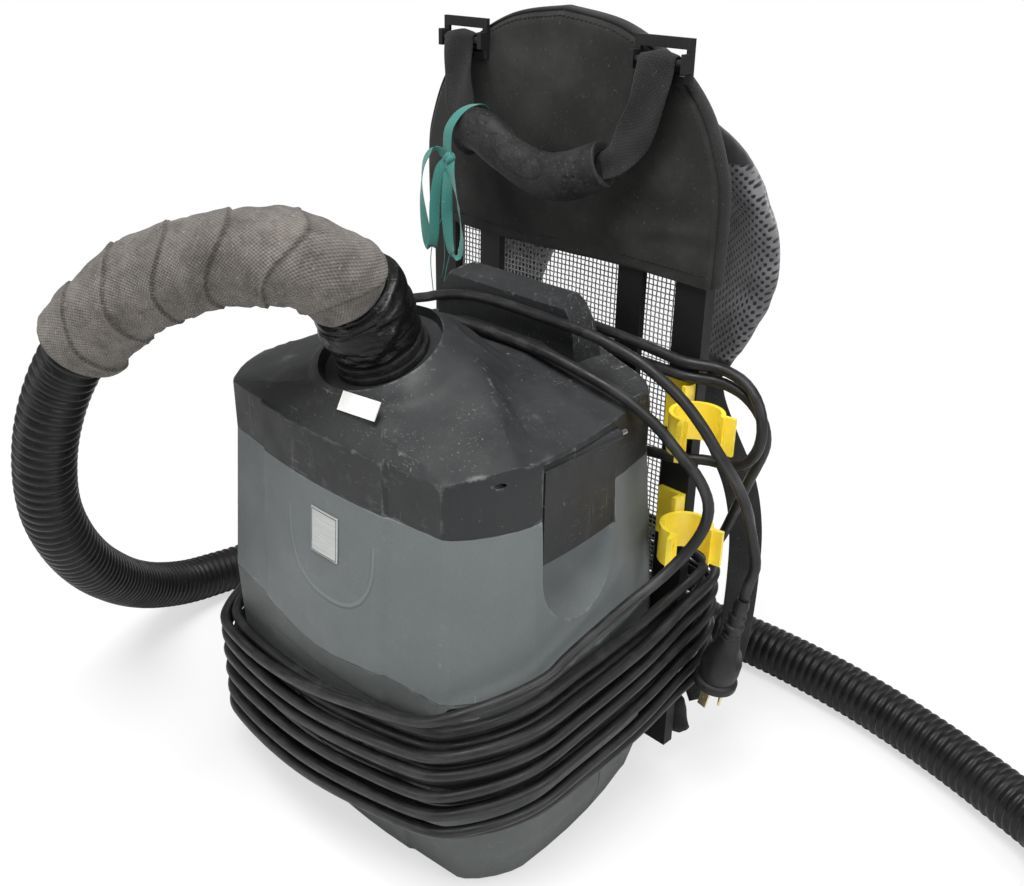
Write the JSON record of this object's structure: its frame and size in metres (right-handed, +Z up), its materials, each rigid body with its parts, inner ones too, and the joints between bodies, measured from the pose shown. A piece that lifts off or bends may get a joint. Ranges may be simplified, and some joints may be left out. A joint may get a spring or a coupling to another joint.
{
  "type": "backpack vacuum cleaner",
  "caption": "Backpack vacuum cleaner with a carrying frame, corrugated suction hose bound with tape, side latches, tool clips and a mains cord wound round the casing.",
  "frame": {"origin": "centre of the casing at floor level, under the motor", "axes": "+Z up, +X to the machine's right seen from the front, +Y towards the wearer's back"},
  "size_m": [0.7532, 0.4775, 0.495],
  "materials": {
    "lower_plastic": "satin, scuffed",
    "upper_plastic": "satin, scuffed",
    "lid_plastic": "fine grain, scuffed",
    "rubber": "matte",
    "steel": "plain",
    "white_film": "smooth",
    "badge_film": "satin",
    "filter_fleece": "matte",
    "zinc_sheet": "plain",
    "laminations": "varnished",
    "alloy": "plain",
    "bag_paper": "matte",
    "card": "matte",
    "frame_plastic": "satin",
    "web_fabric": "woven",
    "pad_mesh": "air mesh",
    "green_ribbon": "woven",
    "yellow_plastic": "glossy",
    "hose_plastic": "semi-gloss",
    "tape_film": "glossy",
    "cloth_wrap": "coarse weave",
    "cord_jacket": "dusty",
    "brass": "worn"
  },
  "bodies": {
    "machine": {"lower_housing": "lower_plastic", "rear_shell": "lower_plastic", "upper_housing": "upper_plastic", "lid": "lid_plastic", "lid_seal": "rubber", "hose_socket": "rubber", "latch_pins": "steel", "asset_label": "white_film", "badge_plate": "badge_film", "exhaust_cover": "lower_plastic", "exhaust_filter": "filter_fleece", "rubber_feet": "rubber", "housing_screws": "steel", "switch_frame": "lid_plastic", "cord_gland": "rubber", "motor_casing": "zinc_sheet", "fan_cover": "zinc_sheet", "motor_mounts": "rubber", "stator": "laminations", "bearings": "steel", "inlet_filter": "filter_fleece", "dust_bag": "bag_paper", "bag_collar": "card", "back_frame": "frame_plastic", "mesh_panel": "web_fabric", "back_cover": "web_fabric", "lumbar_pad": "web_fabric", "hip_pads": "web_fabric", "shoulder_pad_left": "pad_mesh", "shoulder_pad_right": "pad_mesh", "shoulder_webbing": "web_fabric", "strap_buckles": "frame_plastic", "clip_upper": "yellow_plastic", "clip_lower": "yellow_plastic", "suction_hose": "hose_plastic", "black_tape": "tape_film", "cloth_tape": "cloth_wrap", "hose_sleeve": "frame_plastic", "cord_lead": "cord_jacket", "cord_winding": "cord_jacket", "cord_run": "cord_jacket", "plug_body": "cord_jacket", "plug_pins": "brass"},
    "rotor": {"rotor_shaft": "steel", "armature": "laminations", "fan_wheel": "alloy"},
    "latch_left": {"latch_left": "lid_plastic"},
    "latch_right": {"latch_right": "lid_plastic"},
    "carry_handle": {"handle_grip": "rubber", "handle_straps": "web_fabric", "ribbon_tie": "green_ribbon"},
    "hose_cuff": {"hose_cuff": "frame_plastic"},
    "power_switch": {"power_switch": "lid_plastic"}
  },
  "joints": [
    {"name": "fan_spin", "type": "hinge", "parent": "machine", "child": "rotor", "pos_m": [0, 0, 0.09], "axis": [0, 0, 1], "continuous": true},
    {"name": "latch_left_open", "type": "hinge", "parent": "machine", "child": "latch_left", "pos_m": [-0.1145, 0.0035, 0.279], "axis": [0, 1, 0], "range_deg": [0, 35]},
    {"name": "latch_right_open", "type": "hinge", "parent": "machine", "child": "latch_right", "pos_m": [0.1145, 0.0035, 0.279], "axis": [0, -1, 0], "range_deg": [0, 35]},
    {"name": "handle_swing", "type": "hinge", "parent": "machine", "child": "carry_handle", "pos_m": [0, 0.0948, 0.474], "axis": [-1, 0, 0], "range_deg": [0, 110]},
    {"name": "cuff_spin", "type": "hinge", "parent": "machine", "child": "hose_cuff", "pos_m": [0.40681, 0.1836, 0.023], "axis": [0.9135, -0.4067, 0], "continuous": true},
    {"name": "switch_rocker", "type": "hinge", "parent": "machine", "child": "power_switch", "pos_m": [-0.11065, 0.06105, 0.036], "axis": [0, 0, 1], "range_deg": [0, 8]}
  ]
}
